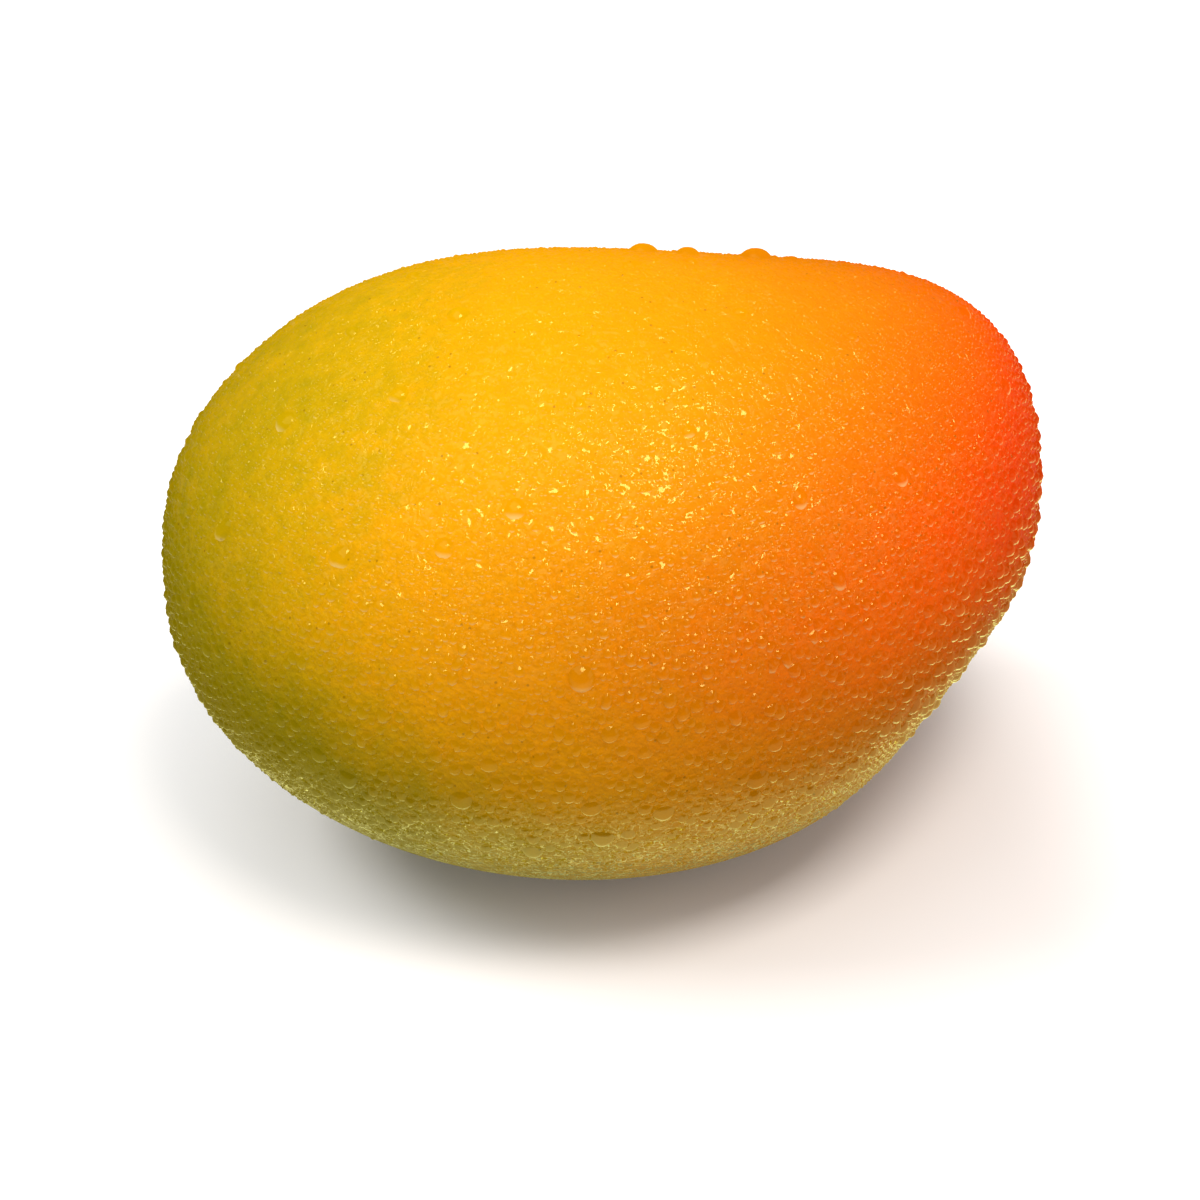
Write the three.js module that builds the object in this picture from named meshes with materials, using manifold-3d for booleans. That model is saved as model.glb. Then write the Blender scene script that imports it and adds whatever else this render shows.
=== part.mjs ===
// A ripe mango lying on its cheek, wet with drops of water, with the stub of its cut stalk.
//
// The long axis runs along X, from the apex at -X to the stem end at +X. Z is up. The straighter
// back of the fruit faces +Y and its full belly faces -Y. The origin is in the small flat spot
// that the fruit rests on. All sizes are in millimetres and all angles in degrees.
import * as THREE from "three";
import { mergeVertices } from "three/addons/utils/BufferGeometryUtils.js";
import Module from "manifold-3d";

const wasm = await Module();
wasm.setup();

// The fruit
const length = 120; // apex to stem end, before the shoulder's swelling
const width = 88; // belly to back
const thickness = 83; // cheek to cheek, which stand up and down as the fruit lies
const bluntness = 0.86; // 1 is an ellipsoid, and less makes both ends blunter
const taper = 0.022; // how much wider than the middle the stem end is, as a share
const backBow = 8.9; // how far both ends bend towards the back
const stemSlant = 6.5; // how far the back runs on past the belly at the stem end
const apexSlant = 4.2; // the same lean at the apex
const axisHeight = 40.6; // the long axis above the table, which leaves the flat spot
const skinFineness = 14; // how often each edge of the first, 20-sided ball is split

// Low swellings and hollows: how high, how far along from apex (-1) to stem end (1), how far
// round from the back (0) over the upper cheek (90) and the belly (180), and how wide
const swellings = [
  { height: -3.1, along: 0.38, around: 54, spread: 0.33 }, // hollow behind the shoulder
  { height: 2.9, along: 0.8, around: 54, spread: 0.49 }, // shoulder
  { height: -3.2, along: 0.8, around: 227, spread: 0.26 }, // slope below the shoulder
  { height: 3.2, along: -0.5, around: 60, spread: 0.34 }, // full back near the apex
  { height: 0.7, along: 0.47, around: 246, spread: 0.34 }, // full cheek above the table
];

// The stem end: a dimple, and in it the socket that holds the stub
const stemTilt = 20; // from the long axis, towards the back
const dimpleDepth = 3.4;
const dimpleSpread = 0.15;
const stubRadius = 3.6;
const stubLength = 4.6;
const stubSides = 20;
const socketGap = 0.3;
const socketDepth = 1.8;

// The drops of water
const dropCount = 112;
const smallestDrop = 0.8; // radius
const largestDrop = 1.7;
const dropSides = 7;
const dropHeightShare = 0.5; // of its radius
const dropRoot = 0.7; // how deep a drop's root is sunk in the fruit
const dropGap = 0.5; // the least skin left bare between two drops
const lowestDrop = 18; // no drop's middle is nearer to the table
const dropShake = 1.2; // how far a drop is shaken off its place, in spacings

// The largest drops, where they stand out: along, around and radius, as for the swellings
const largeDrops = [
  { along: 0.08, around: 66, radius: 2.0 }, // along the top of the fruit
  { along: 0.18, around: 69, radius: 1.7 },
  { along: 0.34, around: 69, radius: 2.3 },
  { along: -0.11, around: 165, radius: 1.8 }, // on the belly
  { along: -0.05, around: 176, radius: 1.3 },
  { along: 0.02, around: 174, radius: 1.2 },
  { along: -0.37, around: 193, radius: 1.6 }, // low on the belly
  { along: 0.07, around: 196, radius: 1.5 },
  { along: -0.09, around: 193, radius: 1.4 },
  { along: 0.28, around: 192, radius: 1.6 },
  { along: -0.61, around: 196, radius: 1.5 },
  { along: -0.2, around: 181, radius: 1.2 },
  { along: -0.31, around: 183, radius: 1.2 },
  { along: 0.67, around: 187, radius: 1.1 },
];

const radians = THREE.MathUtils.degToRad;
const up = new THREE.Vector3(0, 1, 0);

// The unit direction that is `along` the axis and `around` it
function direction(along, around) {
  const out = Math.sqrt(1 - along * along);
  return new THREE.Vector3(along, out * Math.cos(radians(around)), out * Math.sin(radians(around)));
}

const stemDirection = new THREE.Vector3(Math.cos(radians(stemTilt)), Math.sin(radians(stemTilt)), 0);

// A bell curve of the distance between two directions: 1 where they agree, 0 far away
function bell(a, b, spread) {
  return Math.exp(-a.distanceToSquared(b) / (2 * spread * spread));
}

// The point of the skin that lies in a direction from the fruit's middle: an ellipsoid with blunted
// ends, widened towards the stem end, slanted and bowed, and then raised or sunk by the bell curves
function skinPoint(d) {
  const out = Math.hypot(d.y, d.z);
  const blunt = out > 0 ? out ** (bluntness - 1) : 0;
  const back = d.y * blunt;
  const high = d.z * blunt;
  const wide = 1 + taper * d.x;
  const slant = (stemSlant * (1 + d.x) + apexSlant * (1 - d.x)) / 2;
  const raised = swellings.reduce(
    (sum, s) => sum + s.height * bell(d, direction(s.along, s.around), s.spread),
    -dimpleDepth * bell(d, stemDirection, dimpleSpread),
  );
  return new THREE.Vector3(
    (length / 2) * d.x + slant * back,
    (width / 2) * wide * back + backBow * d.x * d.x,
    (thickness / 2) * wide * high + axisHeight,
  ).addScaledVector(d, raised);
}

// The skin's outward normal in a direction, from two short steps across the skin
function skinNormal(d) {
  const step = 1e-3;
  const side = new THREE.Vector3(0, 0, 1).cross(d).normalize();
  const rise = d.clone().cross(side);
  const here = skinPoint(d);
  const across = skinPoint(d.clone().addScaledVector(side, step).normalize()).sub(here);
  const upwards = skinPoint(d.clone().addScaledVector(rise, step).normalize()).sub(here);
  return across.cross(upwards).normalize();
}

// A closed geometry as a solid that can be cut and joined
function solid(geometry) {
  const bare = geometry.clone();
  bare.deleteAttribute("normal");
  bare.deleteAttribute("uv");
  const merged = mergeVertices(bare, 1e-4);
  return new wasm.Manifold(
    new wasm.Mesh({
      numProp: 3,
      vertProperties: merged.attributes.position.array,
      triVerts: new Uint32Array(merged.index.array),
    }),
  );
}

// A solid as a geometry that can be drawn
function geometryOf(body) {
  const mesh = body.getMesh();
  const geometry = new THREE.BufferGeometry();
  geometry.setAttribute("position", new THREE.BufferAttribute(mesh.vertProperties, 3));
  geometry.setIndex(new THREE.BufferAttribute(mesh.triVerts, 1));
  geometry.computeVertexNormals();
  return geometry;
}

// Turns a piece made along Y to stand on the skin in a direction, sunk by `depth`
function standOnSkin(geometry, d, depth) {
  const normal = skinNormal(d);
  const foot = skinPoint(d).addScaledVector(normal, -depth);
  geometry.applyQuaternion(new THREE.Quaternion().setFromUnitVectors(up, normal));
  return geometry.translate(foot.x, foot.y, foot.z);
}

// The fruit without its drops: an even ball of triangles, each corner moved out to the skin
function bareFruit() {
  const ball = new THREE.IcosahedronGeometry(1, skinFineness);
  const corners = ball.attributes.position;
  const d = new THREE.Vector3();
  for (let i = 0; i < corners.count; i++) {
    const p = skinPoint(d.fromBufferAttribute(corners, i).normalize());
    corners.setXYZ(i, p.x, p.y, p.z);
  }
  return solid(ball);
}

// The slab of table that flattens the fruit's lowest spot
function table() {
  const size = 2 * length;
  return solid(new THREE.BoxGeometry(size, size, size).translate(0, 0, -size / 2));
}

// The round hole under the dimple's floor that the stub stands in
function socket() {
  const hole = new THREE.CylinderGeometry(
    stubRadius + socketGap,
    stubRadius + socketGap,
    2 * socketDepth,
    stubSides,
  );
  return solid(standOnSkin(hole, stemDirection, 0));
}

// A repeatable draw from 0 to 1 for drop number i: what is left after the point of a large sine
function draw(i, turn) {
  const large = Math.sin(12.9898 * i + 78.233 * turn) * 43758.5453;
  return large - Math.floor(large);
}

// Drops spread evenly over the fruit on a golden spiral, each shaken off its place. None touches
// another, the table or the dimple.
function allDrops() {
  const goldenTurn = 180 * (3 - Math.sqrt(5));
  const bareRound = 3 * dimpleSpread;
  const drops = largeDrops.map((drop) => ({
    d: direction(drop.along, drop.around),
    radius: drop.radius,
  }));
  for (let i = 0; i < dropCount; i++) {
    const along = 1 - (2 * (i + 0.5 + dropShake * (draw(i, 1) - 0.5))) / dropCount;
    const spacing = 360 / Math.sqrt(dropCount * Math.PI);
    const around = i * goldenTurn + dropShake * spacing * (draw(i, 2) - 0.5);
    const d = direction(THREE.MathUtils.clamp(along, -1, 1), around);
    const radius = smallestDrop + (largestDrop - smallestDrop) * draw(i, 3) ** 2;
    const p = skinPoint(d);
    const crowded = drops.some(
      (other) => skinPoint(other.d).distanceTo(p) < other.radius + radius + dropGap,
    );
    if (!crowded && p.z > lowestDrop && d.distanceTo(stemDirection) > bareRound) {
      drops.push({ d, radius });
    }
  }
  return drops;
}

// One drop: a cap of a sphere on a short root, turned round Y
function dropCap(radius) {
  const height = dropHeightShare * radius;
  const sphere = (radius * radius + height * height) / (2 * height);
  const rim = Math.asin(radius / sphere);
  const rings = 2;
  const profile = [new THREE.Vector2(0, 0), new THREE.Vector2(radius, 0)];
  for (let ring = 0; ring <= rings; ring++) {
    const angle = rim * (1 - ring / rings);
    const out = ring < rings ? sphere * Math.sin(angle) : 0;
    profile.push(new THREE.Vector2(out, dropRoot + height + sphere * (Math.cos(angle) - 1)));
  }
  return new THREE.LatheGeometry(profile, dropSides);
}

function fruit() {
  const drops = allDrops().map((drop) =>
    solid(standOnSkin(dropCap(drop.radius), drop.d, dropRoot)),
  );
  return wasm.Manifold.union([bareFruit(), ...drops]).subtract(socket()).subtract(table());
}

// The stub of the woody stalk: a cut face, a waist, and a foot that spreads to its root
function stub() {
  const profile = [
    [0, 0],
    [1, 0],
    [1, 0.45],
    [0.86, 0.62],
    [0.8, 0.8],
    [0.84, 0.94],
    [0.78, 1],
    [0, 0.96],
  ].map(([out, high]) => new THREE.Vector2(out * stubRadius, high * stubLength));
  const turned = new THREE.LatheGeometry(profile, stubSides);
  return solid(standOnSkin(turned, stemDirection, socketDepth - socketGap));
}

const skin = new THREE.MeshStandardMaterial({ color: 0xf2a012, roughness: 0.35, metalness: 0 });
const bark = new THREE.MeshStandardMaterial({ color: 0x5d4630, roughness: 0.9, metalness: 0 });

function piece(name, body, material) {
  const mesh = new THREE.Mesh(geometryOf(body), material);
  mesh.name = name;
  return mesh;
}

const mango = new THREE.Group();
mango.add(piece("fruit", fruit(), skin));
mango.add(piece("stem_stub", stub(), bark));

export default mango;
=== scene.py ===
# %% [markdown]
# A ripe mango lies on its cheek on a white table. Its waxy skin runs from green at the apex through
# golden yellow to orange-red at the stem end, and it has just been sprayed: thousands of beads of
# water sit on it. The lesson builds the fruit as one smooth surface from a formula, stands a woody
# stub in its dimple, scatters the water over it in three sizes, and lights it with large soft lamps.
# Lengths are worked out in millimetres and turned to metres when a mesh is made.

# %% The frame that the pieces are built round
import bpy
import math
import numpy as np
from mathutils import Matrix


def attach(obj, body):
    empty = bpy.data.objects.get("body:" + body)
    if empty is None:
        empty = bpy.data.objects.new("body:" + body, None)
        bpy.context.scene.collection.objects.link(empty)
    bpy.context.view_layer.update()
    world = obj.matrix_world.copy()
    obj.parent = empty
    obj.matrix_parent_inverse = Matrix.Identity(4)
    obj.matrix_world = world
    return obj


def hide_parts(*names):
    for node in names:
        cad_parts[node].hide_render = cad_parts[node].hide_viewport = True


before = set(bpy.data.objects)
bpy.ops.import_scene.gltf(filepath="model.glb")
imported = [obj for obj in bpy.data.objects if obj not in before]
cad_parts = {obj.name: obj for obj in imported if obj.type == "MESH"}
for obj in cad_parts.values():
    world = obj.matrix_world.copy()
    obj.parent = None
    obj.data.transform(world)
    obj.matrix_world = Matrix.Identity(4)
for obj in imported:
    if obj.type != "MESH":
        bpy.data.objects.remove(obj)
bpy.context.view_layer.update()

# %% [markdown]
# The fruit's form. A mango is an egg with blunted ends, bowed towards its back and slanted at the
# stem, so one formula can carry it: an ellipsoid that is blunted, widened, slanted and bowed, with a
# few low swellings laid over it. A sculpted mesh would be freer, but a formula also tells where the
# skin is under every drop of water, and which way it faces there.

# %% Sizes of the fruit, in millimetres
length = 120
width = 88
thickness = 83
bluntness = 0.86
taper = 0.022
back_bow = 8.9
stem_slant = 6.5
apex_slant = 4.2
axis_height = 40.6
swellings = [  # height, along, around, spread
    (-3.1, 0.38, 54, 0.33),
    (2.9, 0.8, 54, 0.49),
    (-3.2, 0.8, 227, 0.26),
    (3.2, -0.5, 60, 0.34),
    (0.7, 0.47, 246, 0.34),
]
stem_tilt = 20
dimple_depth = 3.4
dimple_spread = 0.15


# %% The skin's formula
def direction(along, around):
    """Unit directions from the fruit's middle: along the axis from apex (-1) to stem end (1), and
    around it in degrees from the back (0) over the upper cheek (90) to the belly (180)."""
    along, around = np.broadcast_arrays(np.asarray(along, float), np.radians(around))
    out = np.sqrt(np.clip(1 - along**2, 0, 1))
    return np.stack([along, out * np.cos(around), out * np.sin(around)], axis=-1)


stem_direction = direction(math.cos(math.radians(stem_tilt)), 0)


def bell(a, b, spread):
    """1 where the directions agree, falling away as a bell curve of the distance between them."""
    return np.exp(-np.sum((a - b) ** 2, axis=-1) / (2 * spread**2))


def skin_point(d):
    """The skin in direction d: (x, y, z) of the ellipsoid, with y and z blunted by a power of the
    distance from the axis, widened along x, slanted and bowed in y, plus each swelling's bell."""
    x, y, z = np.moveaxis(d, -1, 0)
    out = np.hypot(y, z)
    blunt = np.where(out > 0, np.maximum(out, 1e-9) ** (bluntness - 1), 0)
    back, high, wide = y * blunt, z * blunt, 1 + taper * x
    slant = (stem_slant * (1 + x) + apex_slant * (1 - x)) / 2
    raised = -dimple_depth * bell(d, stem_direction, dimple_spread)
    for height, along, around, spread in swellings:
        raised = raised + height * bell(d, direction(along, around), spread)
    point = np.stack(
        [
            length / 2 * x + slant * back,
            width / 2 * wide * back + back_bow * x**2,
            thickness / 2 * wide * high + axis_height,
        ],
        axis=-1,
    )
    return point + raised[..., None] * d


def unit(v):
    """v shortened or stretched to length 1."""
    return v / np.maximum(np.linalg.norm(v, axis=-1, keepdims=True), 1e-12)


def skin_slopes(d, step=1e-3):
    """Two steps across the skin from direction d: sideways round Z, and at right angles to that."""
    side = unit(np.cross([0.0, 0.0, 1.0], d))
    rise = np.cross(d, side)
    here = skin_point(d)
    return skin_point(unit(d + step * side)) - here, skin_point(unit(d + step * rise)) - here


def skin_normal(d):
    """The way the skin faces in direction d: the cross product of two short steps across it."""
    return unit(np.cross(*skin_slopes(d)))


# %% [markdown]
# Every piece here is a grid of points folded shut, so one helper turns arrays into a mesh object. It
# writes whole arrays with foreach_set and shades the faces smooth. A piece can be given other normals
# than its own, where it should be lit like the surface that it lies on, and values on its points,
# which its material reads by their names.

# %% Arrays to a mesh
def make_piece(name, points, faces, normals=None, values=None):
    """A mesh object from points in millimetres and arrays of faces, each array with faces of one size,
    with optional normals and named values on its points."""
    mesh = bpy.data.meshes.new(name)
    corners = np.concatenate([f.ravel() for f in faces]).astype(np.int32)
    sizes = np.concatenate([np.full(len(f), f.shape[1]) for f in faces])
    mesh.vertices.add(len(points))
    mesh.vertices.foreach_set("co", (points * 0.001).astype(np.float32).ravel())
    mesh.loops.add(len(corners))
    mesh.loops.foreach_set("vertex_index", corners)
    mesh.polygons.add(len(sizes))
    mesh.polygons.foreach_set("loop_start", (np.cumsum(sizes) - sizes).astype(np.int32))
    mesh.update(calc_edges=True)
    mesh.validate()
    mesh.polygons.foreach_set("use_smooth", np.ones(len(sizes), bool))
    for title, array in (values or {}).items():
        kind, field = ("FLOAT_VECTOR", "vector") if array.ndim == 2 else ("FLOAT", "value")
        layer = mesh.attributes.new(title, kind, "POINT")
        layer.data.foreach_set(field, array.astype(np.float32).ravel())
    if normals is not None:
        mesh.normals_split_custom_set_from_vertices(normals.tolist())
    piece = bpy.data.objects.new(name, mesh)
    bpy.context.scene.collection.objects.link(piece)
    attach(piece, "root")
    print(f"{name}: {len(points)} points, {int(np.sum(sizes - 2))} triangles")
    return piece


def closed_grid(rows, columns):
    """Faces of rows of points that run round a piece, with one point at each end: four-sided faces
    between the rows, and a fan of triangles round each end."""
    row, column = np.meshgrid(np.arange(rows - 1), np.arange(columns), indexing="ij")
    a = 1 + row * columns + column
    b = 1 + row * columns + (column + 1) % columns
    quads = np.stack([a, b, b + columns, a + columns], axis=-1).reshape(-1, 4)
    here = np.arange(columns)
    following = (here + 1) % columns
    last = 1 + (rows - 1) * columns
    first_fan = np.stack([np.zeros_like(here), 1 + following, 1 + here], axis=-1)
    last_fan = np.stack([np.full_like(here, last + columns), last + here, last + following], axis=-1)
    return [quads, first_fan, last_fan]


# %% [markdown]
# The skin is the formula on a grid: rows of points round the axis from apex to stem end, closer
# together at the two ends. Where the fruit touches the table its flesh gives a little, so what would
# be below the table is pressed flat.

# %% The skin
skin_rows = 140
skin_columns = 200
turn = np.pi * (np.arange(skin_rows) + 1) / (skin_rows + 1)
around = 360 * np.arange(skin_columns) / skin_columns
grid = direction(-np.cos(turn)[:, None], around[None, :])
ends = direction(np.array([-1.0, 1.0]), 0)
points = np.concatenate([skin_point(ends[:1]), skin_point(grid).reshape(-1, 3), skin_point(ends[1:])])
points[:, 2] = np.maximum(points[:, 2], 0)
skin = make_piece("mango_skin", points, closed_grid(skin_rows, skin_columns))
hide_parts("fruit")

# %% [markdown]
# The stub is what is left of the stalk where the fruit was cut from the tree: a short woody peg, a
# little waisted, with bark that has dried into ridges and a paler cut face. It is turned round the
# dimple's own axis, and waves round the turning raise the ridges.

# %% The stub
stub_radius = 3.6
stub_length = 4.6
stub_sunk = 1.5
stub_columns = 96
stub_profile = np.array(  # out from the axis in radii, and along it in lengths
    [
        (1.0, 0.0), (1.0, 0.2), (1.0, 0.36), (0.98, 0.46), (0.92, 0.55), (0.86, 0.63), (0.82, 0.71),
        (0.8, 0.79), (0.82, 0.87), (0.84, 0.93), (0.83, 0.97), (0.78, 0.995), (0.66, 0.985),
        (0.5, 0.97), (0.3, 0.965), (0.16, 0.98),
    ]
)
bark_end = 0.96  # along the stub, where the bare cut face begins
bark_waves = [(0.028, 9, 1.1), (0.02, 17, 2.6), (0.012, 31, 0)]  # height in radii, how many, turned by
cut_middle = 0.985  # along the stub, where the middle of the cut face lies


def stand_up(d):
    """The foot, the up and two sideways directions of a piece that stands on the skin at d."""
    normal = skin_normal(d)
    side = unit(np.cross(normal, [0.0, 0.0, 1.0]))
    return skin_point(d), normal, side, np.cross(normal, side)


foot, stub_up, stub_side, stub_across = stand_up(stem_direction)
angle = 2 * np.pi * np.arange(stub_columns) / stub_columns
along_stub = stub_profile[:, 1, None]
ridges = sum(tall * np.sin(many * angle + turned) for tall, many, turned in bark_waves)
swell = 1 + ridges * (along_stub < bark_end) * np.clip(along_stub * 4 - 1, 0, 1)
out = stub_radius * stub_profile[:, 0, None] * swell
high = stub_length * along_stub - stub_sunk + 0 * angle
rings = (
    foot
    + out[..., None] * (np.cos(angle)[:, None] * stub_side + np.sin(angle)[:, None] * stub_across)
    + high[..., None] * stub_up
)
tips = foot + np.array([[-stub_sunk], [stub_length * cut_middle - stub_sunk]]) * stub_up
points = np.concatenate([tips[:1], rings.reshape(-1, 3), tips[1:]])
stub = make_piece("stalk_stub", points, closed_grid(len(stub_profile), stub_columns))
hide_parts("stem_stub")

# %% [markdown]
# The water. A drop on a waxy skin is a low cap of a sphere, pulled a little downhill where the skin
# is steep, with an outline that is never quite round. Each drop is worked out as a function of two
# numbers, how far out from its middle and which way round, for all the drops of a size at once.
# Thousands of copies of one object would be easier to make, but they would all be the same drop.

# %% One function for every drop
def drop_surface(base, share, way):
    """Points of all drops: share runs from 0 in the middle to 1 at the rim and way is the angle round,
    from 0 downhill. Out from the middle by radius * share, stretched by the outline's two waves; up by
    height * (1 - share to one power) to another power, which makes a flat top and a round edge, less
    the root that is sunk in the skin; downhill by the sag near the middle."""
    numbers = ("radius", "height", "root", "sag", "oval", "lobe", "turn")
    radius, height, root, sag, oval, lobe, turn = (base[key][:, None, None] for key in numbers)
    foot, down, aside, up = (base[key][:, None, None, :] for key in ("foot", "downhill", "sideways", "up"))
    outline = 1 + oval * np.cos(2 * (way - turn)) + lobe * np.cos(3 * (way + turn))
    reach = radius * share * outline
    rise = height * np.maximum(1 - share ** base["flat_top"], 0) ** base["edge"] - root * share**2
    downhill = reach * np.cos(way) + sag * radius * (1 - share**2)
    sideways = reach * np.sin(way)
    return foot + downhill[..., None] * down + sideways[..., None] * aside + rise[..., None] * up


# %% How each drop stands
least_root = 0.03  # how deep every rim is sunk, whatever its width
root_curve = 70  # the skin falls away under a wide rim like a ball of this width
drop_slide = 0.16  # how far a drop on a steep place hangs down inside its outline, in radii
level = 0.05  # the steepness below which a drop has no downhill side


def drop_shapes(d, radius, height_share, form, waviness, chance):
    """What the drop at each direction in d is like: where it stands, its own up, downhill and sideways
    directions, and its sizes. On level skin a random direction stands in for downhill."""
    count = len(d)
    normal = skin_normal(d)
    slope = np.array([0.0, 0.0, -1.0]) + normal[:, 2:] * normal
    steep = np.linalg.norm(slope, axis=-1)
    spin = chance.uniform(0, 2 * np.pi, count)
    anywhere = unit(np.cross(normal, np.stack([np.cos(spin), np.sin(spin), 0.3 + 0 * spin], axis=-1)))
    downhill = np.where(steep[:, None] > level, slope / np.maximum(steep, 1e-9)[:, None], anywhere)
    return {
        "foot": skin_point(d),
        "up": normal,
        "steep": steep,
        "downhill": downhill,
        "sideways": np.cross(normal, downhill),
        "radius": radius,
        "height": height_share * radius * chance.uniform(0.8, 1.2, count),
        "flat_top": form[0],
        "edge": form[1],
        "root": least_root + radius**2 / root_curve,
        "sag": drop_slide * steep + 0.03 * chance.standard_normal(count),
        "oval": waviness * chance.standard_normal(count),
        "lobe": 0.7 * waviness * chance.standard_normal(count),
        "turn": chance.uniform(0, 2 * np.pi, count),
    }


def drop_faces(count, rings, sides):
    """Faces of drops whose points are rings from the rim inwards and one point on top: four-sided
    faces between the rings, a fan of triangles round the top, and one flat face below."""
    here = np.arange(sides)
    following = (here + 1) % sides
    ring = sides * np.arange(rings - 1)[:, None]
    quads = np.stack([ring + here, ring + following, ring + sides + following, ring + sides + here], axis=-1)
    last = (rings - 1) * sides
    fan = np.stack([last + here, last + following, np.full(sides, last + sides)], axis=-1)
    first = (rings * sides + 1) * np.arange(count)[:, None, None]
    return [
        (first + quads.reshape(1, -1, 4)).reshape(-1, 4),
        (first + fan[None]).reshape(-1, 3),
        (first + here[::-1]).reshape(-1, sides),
    ]


# %% [markdown]
# A drop's normals would make its body darker on one side, as if it were a bump of the skin. Water is
# clear, so what shows through a drop is the skin, lit as the skin around it is. The mesh therefore
# carries the skin's normals, and the dome's own are kept as a value for the mirror on its surface.

# %% A piece full of drops
def drops(name, d, radius, height_share, form, sides, shares, waviness, seed):
    """A piece that holds one drop for each direction in d. form is the pair of powers of a drop's dome,
    and shares are its rings of points, from the rim inwards. The domes' normals are cross products of
    two short steps over them."""
    count = len(d)
    base = drop_shapes(d, radius, height_share, form, waviness, np.random.default_rng(seed))
    share = np.array(shares)[None, :, None]
    way = (2 * np.pi * np.arange(sides) / sides)[None, None, :]
    step = 0.01
    rings = drop_surface(base, share, way)
    along_ring = drop_surface(base, share, way + step) - drop_surface(base, share, way - step)
    ring_normals = unit(np.cross(rings - drop_surface(base, share - step, way), along_ring))
    centre = np.zeros((1, 1, 1))
    top = drop_surface(base, centre, centre)[:, 0]
    ahead = drop_surface(base, centre + step, centre)[:, 0] - top
    aside = drop_surface(base, centre + step, centre + np.pi / 2)[:, 0] - top
    points = np.concatenate([rings.reshape(count, -1, 3), top], axis=1)
    domes = np.concatenate([ring_normals.reshape(count, -1, 3), unit(np.cross(ahead, aside))], axis=1)
    lower_side = np.append(share * np.cos(way), 0) * np.minimum(base["steep"] * 1.5, 1)[:, None]
    values = {"dome_normal": domes.reshape(-1, 3), "lower_side": lower_side.ravel()}
    skin_normals = np.repeat(base["up"], points.shape[1], axis=0)
    faces = drop_faces(count, len(shares), sides)
    piece = make_piece(name, points.reshape(-1, 3), faces, skin_normals, values)
    return piece


def drop_pieces(name, pieces, d, radius, seed, **kind):
    """The drops at the directions in d, shared out over several pieces that are numbered from 1."""
    shares = enumerate(np.array_split(np.arange(len(d)), pieces))
    return [drops(f"{name}_{n + 1}", d[some], radius[some], seed=seed + n, **kind) for n, some in shares]


# %% [markdown]
# The largest drops stand where the frame's drops stand: the same spiral, the same shaking and the
# same test for crowding, so they are found again from the same few numbers.

# %% The large drops
drop_count = 112
smallest_drop = 0.8
largest_drop = 1.7
drop_gap = 0.5
lowest_drop = 18
large_places = [  # along, around, radius
    (0.08, 66, 2.0),
    (0.18, 69, 1.7),
    (0.34, 69, 2.3),
    (-0.11, 165, 1.8),
    (-0.05, 176, 1.3),
    (0.02, 174, 1.2),
    (-0.37, 193, 1.6),
    (0.07, 196, 1.5),
    (-0.09, 193, 1.4),
    (0.28, 192, 1.6),
    (-0.61, 196, 1.5),
    (-0.2, 181, 1.2),
    (-0.31, 183, 1.2),
    (0.67, 187, 1.1),
]
golden_turn = 180 * (3 - math.sqrt(5))
shake = 1.2


def draw(i, turn):
    """A repeatable draw from 0 to 1: what is left after the point of a large sine."""
    large = np.sin(12.9898 * i + 78.233 * turn) * 43758.5453
    return large - np.floor(large)


number = np.arange(drop_count)
along = 1 - 2 * (number + 0.5 + shake * (draw(number, 1) - 0.5)) / drop_count
spacing = 360 / math.sqrt(drop_count * math.pi)
around = number * golden_turn + shake * spacing * (draw(number, 2) - 0.5)
offered = direction(np.clip(along, -1, 1), around)
offered_radius = smallest_drop + (largest_drop - smallest_drop) * draw(number, 3) ** 2
large_d = [direction(a, b) for a, b, _ in large_places]
large_radius = [r for _, _, r in large_places]
for d, r in zip(offered, offered_radius):
    place = skin_point(d)
    apart = np.linalg.norm(skin_point(np.array(large_d)) - place, axis=-1)
    clear = np.all(apart >= np.array(large_radius) + r + drop_gap)
    if clear and place[2] > lowest_drop and np.linalg.norm(d - stem_direction) > 3 * dimple_spread:
        large_d.append(d)
        large_radius.append(r)
large_d, large_radius = np.array(large_d), np.array(large_radius)
large = drops(
    "large_drops",
    large_d,
    large_radius,
    height_share=0.48,
    form=(2.4, 0.9),
    sides=22,
    shares=(1.0, 0.96, 0.88, 0.75, 0.57, 0.32),
    waviness=0.07,
    seed=11,
)

# %% [markdown]
# The middle drops and the fine beads fill the skin between the large ones. A golden spiral spreads
# them evenly, a shake takes away its pattern, and places are thinned out where the formula squeezes
# the skin, so that each square millimetre has the same chance. A small drop that would lie in a
# larger one has run into it, and is left out.

# %% Places for the small drops
small_shake = 0.9


def places(count, seed):
    """count directions on a shaken golden spiral, thinned by the area of skin that each stands for."""
    chance = np.random.default_rng(seed)
    number = np.arange(count)
    along = 1 - 2 * (number + 0.5 + small_shake * chance.uniform(-0.5, 0.5, count)) / count
    spacing = 360 / math.sqrt(count * math.pi)
    around = number * golden_turn + small_shake * spacing * chance.uniform(-0.5, 0.5, count)
    d = direction(np.clip(along, -1, 1), around)
    area = np.linalg.norm(np.cross(*skin_slopes(d)), axis=-1)
    kept = chance.uniform(0, 1, count) < area / np.percentile(area, 98)
    return d[kept]


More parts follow.
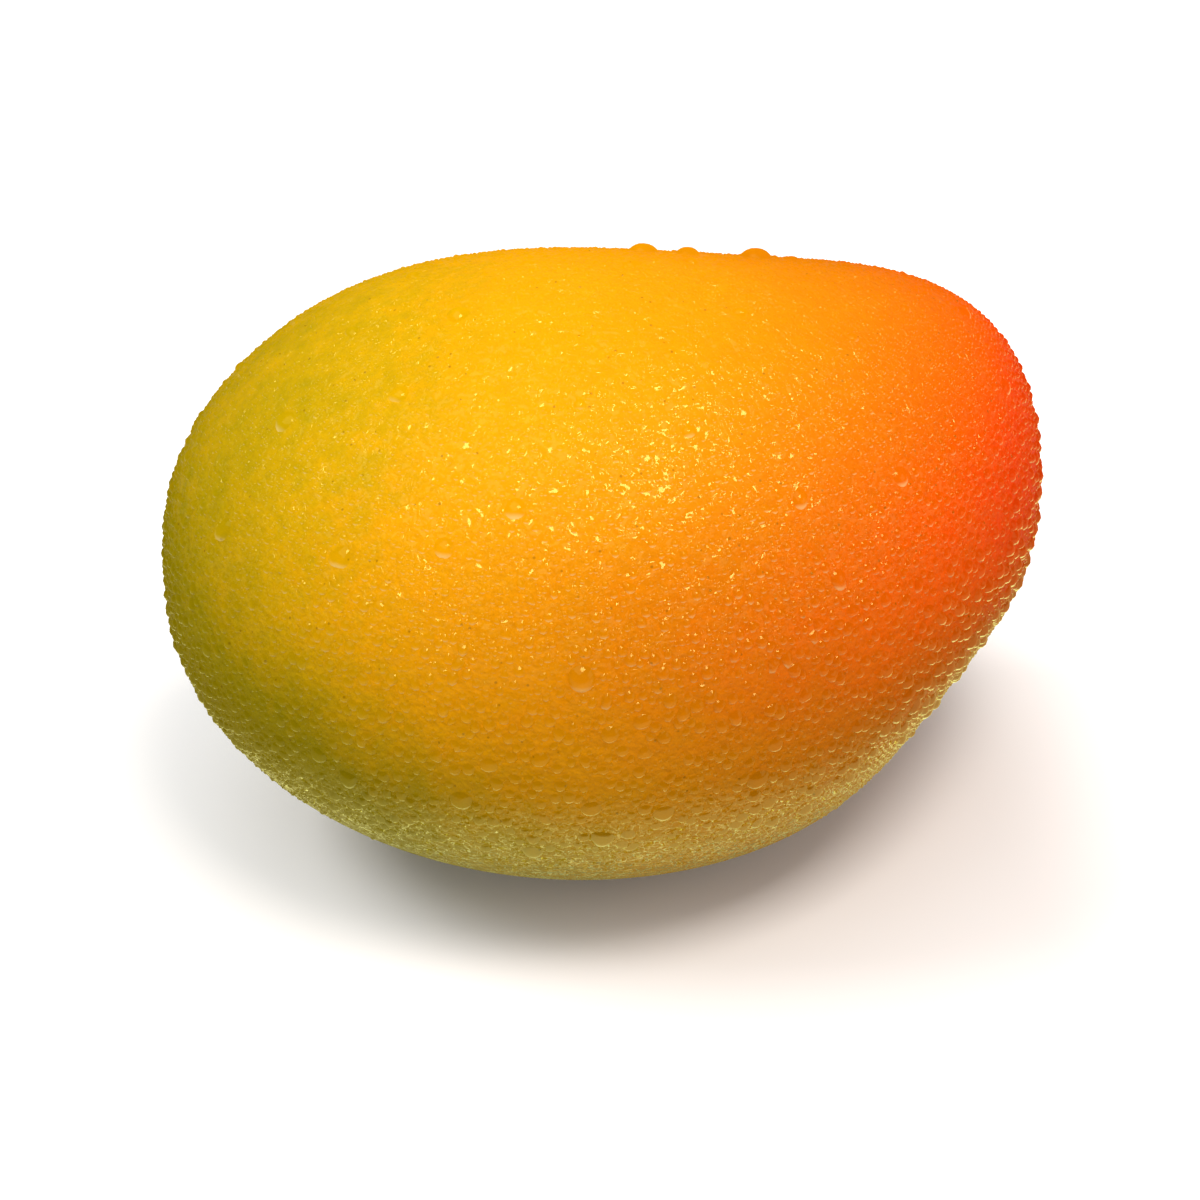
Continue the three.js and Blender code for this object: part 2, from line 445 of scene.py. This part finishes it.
def run_together(d, radius, larger_d, larger_radius, overlap):
    """True for each drop that reaches into a larger one by more than the overlap allows. The distances
    are taken a few hundred drops at a time, so that the table of them stays small."""
    theirs = skin_point(larger_d)
    blocks = max(1, len(d) // 400)
    touching = []
    for mine, reach in zip(np.array_split(skin_point(d), blocks), np.array_split(overlap * radius, blocks)):
        apart = np.sum(mine**2, axis=-1)[:, None] + np.sum(theirs**2, axis=-1)[None, :] - 2 * mine @ theirs.T
        touching.append(np.any(apart < (larger_radius[None, :] + reach[:, None]) ** 2, axis=1))
    return np.concatenate(touching)


def keep_off(d, least_height, least_from_stem):
    """True for each place that is clear of the table and of the stalk."""
    from_stem = np.linalg.norm(d - stem_direction, axis=-1)
    return (skin_point(d)[:, 2] > least_height) & (from_stem > least_from_stem)


def ramp(value, start, end):
    """0 before the start, 1 past the end, and straight between them."""
    return np.clip((value - start) / (end - start), 0, 1)


# %% [markdown]
# Where the skin is steep, drops run into each other and grow, most of all towards the stem end, so
# there are fewer and larger ones. On top they stay smaller. Far below, where the skin faces the
# table, they have joined into a film, which the skin's material shows.

# %% The middle drops
middle_offered = 9500  # places, before they are thinned out
smallest_middle = 0.52
largest_middle = 0.94
middle_kind = {
    "height_share": 0.52,
    "form": (2.2, 1.0),
    "sides": 10,
    "shares": (1.0, 0.87, 0.56),
    "waviness": 0.1,
}

chance = np.random.default_rng(5)
middle_d = places(middle_offered, 21)
facing = skin_normal(middle_d)[:, 2]
growth = ramp(facing, 0.35, 0.05) * np.clip(0.2 + 0.25 * middle_d[:, 0], 0, 1)
middle_radius = chance.uniform(0, 1, len(middle_d)) ** 2
middle_radius = smallest_middle + (largest_middle - smallest_middle) * middle_radius
middle_radius *= (1 - 0.45 * ramp(facing, 0.3, 0.75)) * (1 + growth)
kept = chance.uniform(0, 1, len(middle_d)) > growth + ramp(facing, -0.3, -0.6)
kept &= keep_off(middle_d, 1.2, 0.3)
kept &= ~run_together(middle_d, middle_radius, large_d, large_radius, 0.5)
middle_d, middle_radius = middle_d[kept], middle_radius[kept]
middle = drop_pieces("middle_drops", 3, middle_d, middle_radius, 12, **middle_kind)

# %% The fine beads
fine_offered = 30000
smallest_fine = 0.2
largest_fine = 0.46
fine_kind = {"height_share": 0.48, "form": (2.2, 1.0), "sides": 6, "shares": (1.0, 0.7), "waviness": 0.12}

fine_d = places(fine_offered, 22)
fine_radius = chance.uniform(0, 1, len(fine_d)) ** 1.3
fine_radius = smallest_fine + (largest_fine - smallest_fine) * fine_radius
kept = chance.uniform(0, 1, len(fine_d)) > ramp(skin_normal(fine_d)[:, 2], -0.4, -0.7)
kept &= keep_off(fine_d, 0.6, 0.2)
kept &= ~run_together(fine_d, fine_radius, large_d, large_radius, 0.3)
kept &= ~run_together(fine_d, fine_radius, middle_d, middle_radius, 0.3)
fine_d, fine_radius = fine_d[kept], fine_radius[kept]
fine = drop_pieces("fine_beads", 4, fine_d, fine_radius, 30, **fine_kind)
print("drops, large, middle and fine:", len(large_d), len(middle_d), len(fine_d))

# %% [markdown]
# Materials are built from nodes, and most of the work in them is sums. A small class wraps a node's
# socket so that sums can be written as they are on paper, and one method places any other node. The
# room's light is a tree of nodes too, so the same class makes it.

# %% Sums on sockets
class Wire:
    """A socket whose value can be added to, multiplied and so on with + - * / and **."""

    def __init__(self, recipe, socket):
        self.recipe = recipe
        self.socket = socket

    def __add__(self, other):
        return self.recipe.maths("ADD", self, other)

    def __sub__(self, other):
        return self.recipe.maths("SUBTRACT", self, other)

    def __rsub__(self, other):
        return self.recipe.maths("SUBTRACT", other, self)

    def __mul__(self, other):
        return self.recipe.maths("MULTIPLY", self, other)

    def __pow__(self, other):
        return self.recipe.maths("POWER", self, other)

    __radd__ = __add__
    __rmul__ = __mul__


class Recipe:
    """A material or a room, and its nodes."""

    def __init__(self, owner):
        self.owner = owner
        owner.use_nodes = True
        self.tree = owner.node_tree
        self.tree.nodes.clear()

    def node(self, kind, settings=None, sockets=None, out=0):
        """Places one node, sets its settings, then fills its sockets with numbers, colours or wires,
        and gives back the wire from one of its outputs."""
        placed = self.tree.nodes.new("ShaderNode" + kind)
        for name, value in (settings or {}).items():
            if name == "stops":
                elements = placed.color_ramp.elements
                while len(elements) < len(value):
                    elements.new(1)
                for element, (position, colour) in zip(elements, value):
                    element.position = position
                    element.color = (*colour, 1)
            else:
                setattr(placed, name, value)
        for name, value in (sockets or {}).items():
            if isinstance(value, Wire):
                self.tree.links.new(value.socket, placed.inputs[name])
            else:
                placed.inputs[name].default_value = value
        return Wire(self, placed.outputs[out]) if len(placed.outputs) else placed

    def maths(self, operation, *values):
        """One sum on numbers or wires."""
        return self.node("Math", {"operation": operation}, dict(enumerate(values)))

    def mix(self, factor, a, b, blend="MIX"):
        """Two colours mixed by a factor."""
        a, b = ((*c, 1) if isinstance(c, tuple) else c for c in (a, b))
        settings = {"data_type": "RGBA", "blend_type": blend}
        return self.node("Mix", settings, {0: factor, 6: a, 7: b}, out=2)

    def either(self, factor, a, b):
        """Shader a where the factor is 0 and shader b where it is 1."""
        return self.node("MixShader", {}, {0: factor, 1: a, 2: b})

    def between(self, value, low, high, to_low=0.0, to_high=1.0):
        """value taken from the range low to high to another range, smoothly, and held at its ends."""
        settings = {"interpolation_type": "SMOOTHSTEP"}
        sockets = {0: value, 1: low, 2: high, 3: to_low, 4: to_high}
        return self.node("MapRange", settings, sockets)

    def place(self):
        """Where a point is in the frame that all pieces share, in metres."""
        return self.node("TexCoord", {}, {}, out="Object")

    def along(self, axis):
        """How far a point lies along X, Y or Z."""
        return self.node("SeparateXYZ", {}, {0: self.place()}, out=axis)

    def facing_up(self):
        """How far the surface faces up, from -1 for down to 1 for up."""
        facing = self.node("TexCoord", {}, {}, out="Normal")
        return self.node("SeparateXYZ", {}, {0: facing}, out="Z")

    def noise(self, scale, detail, roughness=0.5, distortion=0.0):
        """Soft noise, with about one wave in 1 / scale metres."""
        sockets = {"Scale": scale, "Detail": detail, "Roughness": roughness, "Distortion": distortion}
        return self.node("TexNoise", {}, {"Vector": self.place(), **sockets})

    def bump(self, height, distance):
        """The normal of a surface that a height, times a distance in metres, is laid on."""
        return self.node("Bump", {}, {"Strength": 1.0, "Distance": distance, "Height": height})

    def finish(self, shader, output="OutputMaterial"):
        """Sends the shader to the output, and gives back the material or room."""
        self.node(output, {}, {"Surface": shader})
        return self.owner


# %% [markdown]
# The colour of the skin. On a real fruit the side that saw the sun turns red and the apex stays
# green, with gold between them. Here the place along the fruit, warped by slow noise so that no edge
# is straight, runs through a row of colours. The upper cheek is more golden than the belly and the
# underside greener, so height shifts the place. Dots of cork and clouds of light and dark of three
# sizes lie over that. Painting an image would tie the look to one unwrapping; noise needs none.

# %% The skin's colours
ripening = [  # from the apex to the stem end: how far along, and the colour there
    (0.0, (0.48, 0.355, 0.001)),
    (0.1, (0.69, 0.4, 0.001)),
    (0.2, (0.88, 0.39, 0.001)),
    (0.3, (0.87, 0.335, 0.001)),
    (0.4, (0.82, 0.27, 0.001)),
    (0.5, (0.8, 0.215, 0.001)),
    (0.6, (0.81, 0.17, 0.001)),
    (0.7, (0.86, 0.138, 0.001)),
    (0.8, (0.92, 0.106, 0.001)),
    (0.92, (0.94, 0.062, 0.002)),
]
cork = (0.25, 0.11, 0.004)
per_length = 8.33  # the fruit is about 0.12 m long


def skin_colour(recipe):
    """The colour at each point: its place along the fruit, shifted by height and by noise, looked up in
    the row of colours, then made lighter and darker by noise and dotted with cork."""
    x, z = recipe.along("X"), recipe.along("Z")
    slow = recipe.noise(28, 3, 0.55)
    patches = recipe.noise(95, 4, 0.6)
    mottle = recipe.noise(330, 2, 0.6)
    grain = recipe.noise(620, 3, 0.6)
    upper = recipe.between(z, 0.055, 0.085) * (x * 2.2 + 0.25)
    lower = recipe.between(z, 0.018, 0.054, 0.29, 0) * (x * 6 + 1.0)
    at = x * per_length + 0.5 - upper - lower
    at = at + (slow - 0.5) * 0.1 + (patches - 0.5) * 0.08 + (mottle - 0.5) * 0.11
    colour = recipe.node("ValToRGB", {"stops": ripening}, {0: at})
    shade = 0.8 + patches * 0.14 + mottle * 0.1 + grain * 0.16
    grey = recipe.node("CombineColor", {}, {0: shade, 1: shade, 2: shade})
    dots = recipe.node("TexVoronoi", {"feature": "F1"}, {"Vector": recipe.place(), "Scale": 420})
    dots = recipe.between(dots, 0.05, 0.11, 1, 0)
    return recipe.mix(dots * 0.5, recipe.mix(1.0, colour, grey, "MULTIPLY"), cork)


# %% [markdown]
# The skin is wet all over. On top the spray lies in flat smears that only flash where they mirror
# the lamp. Below, water hangs in a film that mirrors the pale table, so the fruit has a light band
# along its foot. Both are a mirror laid over the wax, bumped by noise, and a mix shader's factor
# says how much of it shows. A real film of mesh would need millions of faces for the same wrinkles.

# %% The film of water
wet_light = (1, 0.95, 0.3, 1)  # the warm tint of all that the water mirrors
water_ior = 1.33


def underside(recipe):
    """1 where the skin faces the table, and 0 from a little below level upwards."""
    return recipe.between(recipe.facing_up(), -0.48, -0.14, 1, 0)


def thinned(recipe):
    """0.6 at the apex, where less water hangs, and 1 from the middle on."""
    return recipe.between(recipe.along("X"), -0.05, -0.015, 0.6, 1)


def film_relief(recipe, upper_side):
    """The film's dents and ridges: below, broad warped noise and closer noise that grows where the film
    hangs; on top, the parts of a noise that stand above its middle, on broad noise and waves."""
    broad = recipe.noise(430, 0.6, distortion=1.4)
    close = recipe.noise(900, 0.6, distortion=1.2)
    patches = recipe.noise(130, 1)
    waves = recipe.noise(240, 1, distortion=1.0)
    smears = recipe.maths("MAXIMUM", recipe.noise(560, 0, distortion=1.6) - 0.47, 0.0) ** 0.6
    hanging = (broad + close * (underside(recipe) * 0.22 + 0.09)) * (patches * 1.3 + 0.5)
    lying = smears * (patches * 1.2 + 0.7) + broad * 0.8 + waves * 1.5
    return recipe.bump(hanging + (lying - hanging) * upper_side, 0.0007)


def wrinkles(recipe):
    """2.5 on thin wandering lines and 0.5 between them: the lines run where a warped noise is near its
    middle value. They are the edges where the hanging film shines most."""
    off_line = recipe.maths("ABSOLUTE", recipe.noise(560, 0.5, distortion=2.2) - 0.5)
    return recipe.between(off_line, 0.012, 0.06, 2.5, 0.5)


# %% The skin's material
def wet_skin():
    """Wax with a faint grain of shallow pits, below the film of water."""
    recipe = Recipe(bpy.data.materials.new("waxy_mango_skin"))
    pits = recipe.bump(recipe.noise(800, 2), 0.0002)
    wax_sockets = {"Base Color": skin_colour(recipe), "Normal": pits}
    wax = recipe.node("BsdfPrincipled", {}, {"Roughness": 0.6, "Specular IOR Level": 0.03, **wax_sockets})
    upper_side = recipe.between(recipe.facing_up(), 0.1, 0.5)
    film = film_relief(recipe, upper_side)
    shine = recipe.node("BsdfAnisotropic", {}, {"Color": wet_light, "Roughness": 0.03, "Normal": film})
    glancing = recipe.node("Fresnel", {}, {"IOR": water_ior, "Normal": film})
    share = underside(recipe) * (glancing * 0.85 + 0.07) * wrinkles(recipe) * thinned(recipe)
    share = share + upper_side * 0.036 + 0.008
    return recipe.finish(recipe.either(share, wax, shine))


skin.data.materials.append(wet_skin())
print("skin:", len(ripening), "colours")

# %% [markdown]
# Clear water on a coloured skin shows the skin's colour and mirrors the lamp and the table on its
# own curved top. Real refraction would be slow and speckled at this size. So each drop wears the
# skin's colour, lit as the skin under it is lit, below a mirror that grows stronger at the rim. A real
# drop gathers light at its lower side; here that is a painted highlight, a paler colour mixed into the
# drop's colour there. It casts no shadow, since light goes through it.

# %% The water's material
# the colour of the painted highlight on the lower side of each drop
painted_gathered_light = (1, 0.82, 0.36)


def clear_water():
    """The skin's colour, with a painted highlight of paler colour on the lower side of each steep drop,
    below a mirror on the dome. The mirror's share is the rim's and the glancing light's on the lower
    side of each drop, plus the film's below, where the drops hang in it."""
    recipe = Recipe(bpy.data.materials.new("beads_of_water"))
    dome = recipe.node("Attribute", {"attribute_name": "dome_normal"}, {}, out="Vector")
    lower = recipe.node("Attribute", {"attribute_name": "lower_side"}, {}, out="Fac")
    # painted highlight: a paler colour mixed in on the lower side of each steep drop
    colour = recipe.mix(recipe.between(lower, 0.3, 0.95, 0, 0.4), skin_colour(recipe), painted_gathered_light)
    body_sockets = {"Base Color": colour, "Roughness": 0.6, "Specular IOR Level": 0.0}
    body = recipe.node("BsdfPrincipled", {}, body_sockets)
    mirror = recipe.node("BsdfAnisotropic", {}, {"Color": wet_light, "Roughness": 0.04, "Normal": dome})
    turned_away = recipe.node("LayerWeight", {}, {"Blend": 0.5, "Normal": dome}, out="Facing")
    rim = recipe.between(turned_away, 0.42, 0.9, 0, 0.8)
    glancing = recipe.node("Fresnel", {}, {"IOR": water_ior, "Normal": dome})
    steep_places = recipe.between(recipe.facing_up(), -0.05, 0.35, 1, 0.4)
    edge = recipe.between(lower, -0.1, 0.5, 0.06, 1) * steep_places
    share = (glancing * 0.45 + rim) * edge + underside(recipe) * (glancing * 0.6 + 0.07)
    return recipe.finish(recipe.either(share * thinned(recipe) + 0.03, body, mirror))


water = clear_water()
wet_pieces = [large, *middle, *fine]
for piece in wet_pieces:
    piece.data.materials.append(water)
    piece.visible_shadow = False
print("water on", len(wet_pieces), "pieces")

# %% [markdown]
# Dried wood is matt, with darker and paler fibres. Fine noise gives both their colours and the
# relief, so that the pale fibres stand up.

# %% The stub's material
dark_fibre = (0.06, 0.035, 0.015)
pale_fibre = (0.24, 0.15, 0.07)


def dry_stalk():
    """Noise between two browns, and the same noise as a relief."""
    recipe = Recipe(bpy.data.materials.new("dry_stalk"))
    fibres = recipe.noise(900, 5, 0.7)
    colour = recipe.mix(recipe.between(fibres, 0.3, 0.7), dark_fibre, pale_fibre)
    relief = recipe.node("Bump", {}, {"Strength": 0.6, "Distance": 0.0004, "Height": fibres})
    wood = recipe.node("BsdfPrincipled", {}, {"Base Color": colour, "Roughness": 0.85, "Normal": relief})
    return recipe.finish(wood)


stub.data.materials.append(dry_stalk())
print("stub:", stub.data.materials[0].name)

# %% [markdown]
# The table is a sheet of paper that runs out of view. In a picture whose background has been made
# white afterwards, the sheet looks whiter than the light that it throws back on the fruit. So the
# paper has three looks, chosen by the kind of ray that meets it: bright to the camera, with a painted
# glow that fades the shadow out to the right of the fruit; a painted glow to the water's mirrors,
# pale with a painted shadow under the fruit; and grey to all other light.

# %% The table
table_half = 4.0
# The painted shadow under the fruit, which only the water's mirrors see, is stretched by these factors.
painted_shadow_stretch = (1, 1.35, 1)  # the dark patch is longer along X


def paper(recipe, grey):
    """Matt paper of one grey."""
    return recipe.node("BsdfDiffuse", {}, {"Color": (grey, grey, grey, 1)})


def glow(recipe, strength):
    """Painted light: the paper's own glow, slightly warm, though it is no lamp."""
    return recipe.node("Emission", {}, {"Color": (1, 0.97, 0.95, 1), "Strength": strength})


def seen_paper(recipe):
    """Nearly white paper with a painted glow of its own, which grows to the right of the fruit and
    paints the shadow out there."""
    # painted light: the glow grows from 0.06 to 0.4 right of the fruit, fading the shadow there
    rightwards = recipe.between(recipe.along("X"), 0.05, 0.09)
    light = recipe.either(rightwards, glow(recipe, 0.06), glow(recipe, 0.4))
    return recipe.node("AddShader", {}, {0: paper(recipe, 0.75), 1: light})


def mirrored_paper(recipe):
    """Painted light for the mirrors: a glow of one brightness, with a painted shadow under the fruit, and
    painted shade far from it and near the apex.
    """
    stretched = recipe.node("VectorMath", {"operation": "MULTIPLY"}, {0: recipe.place(), 1: painted_shadow_stretch})
    apart = recipe.node("VectorMath", {"operation": "LENGTH"}, {0: stretched}, out="Value")
    # painted shadow: the glow dims under the fruit, far from it, and near the apex
    bright = recipe.between(apart, 0.03, 0.052, 0.25, 1) * recipe.between(apart, 0.14, 0.7, 1, 0.3)
    bright = bright * recipe.between(recipe.along("X"), -0.12, -0.02, 0.55, 1)
    dark = recipe.node("Emission", {}, {"Color": (0, 0, 0, 1), "Strength": 0.0})
    light = recipe.node("Emission", {}, {"Color": (1, 1, 1, 1), "Strength": 1.2})
    return recipe.either(bright, dark, light)


def white_sheet():
    """The paper's three looks, by the kind of ray."""
    recipe = Recipe(bpy.data.materials.new("white_sheet"))
    glossy_ray = recipe.node("LightPath", {}, {}, out="Is Glossy Ray")
    camera_ray = recipe.node("LightPath", {}, {}, out="Is Camera Ray")
    unseen = recipe.either(glossy_ray, paper(recipe, 0.2), mirrored_paper(recipe))
    return recipe.finish(recipe.either(camera_ray, unseen, seen_paper(recipe)))


table_mesh = bpy.data.meshes.new("table")
corners = [(table_half * x, table_half * y, 0) for x, y in ((-1, -1), (1, -1), (1, 1), (-1, 1))]
table_mesh.from_pydata(corners, [], [(0, 1, 2, 3)])
table_mesh.materials.append(white_sheet())
table = bpy.data.objects.new("table", table_mesh)
bpy.context.scene.collection.objects.link(table)
print("table:", 2 * table_half, "m wide")

# %% [markdown]
# The room gives an even fill of light, but the water hardly mirrors it, so that the skin's colours
# stay full. A grey room would wash them out.

# %% The room
room_fill = 0.42
room_mirrored = 0.06


def dark_room():
    """White light from all around, weaker for mirrors."""
    recipe = Recipe(bpy.data.worlds.new("dark_room"))
    fill = recipe.node("Background", {}, {"Color": (1, 1, 1, 1), "Strength": room_fill})
    mirrored = recipe.node("Background", {}, {"Strength": room_mirrored})
    glossy_ray = recipe.node("LightPath", {}, {}, out="Is Glossy Ray")
    return recipe.finish(recipe.either(glossy_ray, fill, mirrored), "OutputWorld")


bpy.context.scene.world = dark_room()
print("room:", bpy.context.scene.world.name)

# %% [markdown]
# Four large soft lamps. The key lamp hangs high in front, a little to the right, and its mirror image
# makes the flashes on the upper cheek. A wide lamp high on the left and a weak one low on the right
# fill in. The last one stands on the left and lights only the table, where the fruit throws its shadow
# to the right. Light linking gives it that one object, by a collection that holds nothing else.

# %% Lamps
lamp_distance = 3.0
lamp_aim = np.array([0, 0, 0.04])


def turned(right, up, back, spot):
    """The matrix of a lamp or camera at a spot that looks away from its back."""
    matrix = np.eye(4)
    matrix[:3] = np.stack([right, up, back, spot], axis=-1)
    return Matrix(matrix.tolist())


def lamp(name, azimuth, elevation, size, watts):
    """A soft lamp that hangs in a direction from the fruit, azimuth from X and elevation from level, and
    faces it."""
    light = bpy.data.lights.new(name, "AREA")
    light.shape = "RECTANGLE"
    light.size, light.size_y = size
    light.energy = watts
    a, e = math.radians(azimuth), math.radians(elevation)
    back = np.array([math.cos(a) * math.cos(e), math.sin(a) * math.cos(e), math.sin(e)])
    right = unit(np.cross([0, 0, 1], back))
    hung = bpy.data.objects.new(name, light)
    hung.matrix_world = turned(right, np.cross(back, right), back, lamp_aim + lamp_distance * back)
    bpy.context.scene.collection.objects.link(hung)
    return hung


key = lamp("key_lamp", -60, 69, (1.3, 1.0), 54)
key.data.color = (1, 0.89, 0.8)
lamp("wide_lamp", -150, 75, (4.0, 3.4), 53)
lamp("side_lamp", -25, 20, (2.0, 1.6), 10)
left = lamp("left_lamp", 165, 47, (1.6, 1.2), 56)
only_table = bpy.data.collections.new("only_table")
only_table.objects.link(table)
left.light_linking.receiver_collection = only_table
print("lamps:", len(bpy.data.lights))

# %% [markdown]
# The camera stands in front of the belly, a little to the left of it, and looks down by about a third
# of a right angle. A long lens from half a metre keeps the fruit's form true.

# %% Camera
camera_azimuth = -9.85  # degrees from straight in front, to the left
camera_elevation = 33.4
camera_distance = 550
camera_lens = 122
sensor_width = 36
aim_right = -1.95  # the point aimed at, from the middle of the fruit
aim_up = -5.17

a, e = math.radians(camera_azimuth), math.radians(camera_elevation)
camera_back = np.array([math.sin(a) * math.cos(e), -math.cos(a) * math.cos(e), math.sin(e)])
camera_right = np.array([math.cos(a), math.sin(a), 0])
camera_up = np.cross(camera_back, camera_right)
target = np.array([0, 0, axis_height]) + aim_right * camera_right + aim_up * camera_up
spot = (target + camera_distance * camera_back) * 0.001
camera_data = bpy.data.cameras.new("camera")
camera_data.lens = camera_lens
camera_data.sensor_width = sensor_width
camera_data.clip_start = 0.01
camera = bpy.data.objects.new("camera", camera_data)
bpy.context.scene.collection.objects.link(camera)
camera.matrix_world = turned(camera_right, camera_up, camera_back, spot)
bpy.context.scene.camera = camera
bpy.context.scene.view_settings.view_transform = "Standard"
bpy.context.scene.view_settings.look = "None"
print("camera at", spot.round(3).tolist())
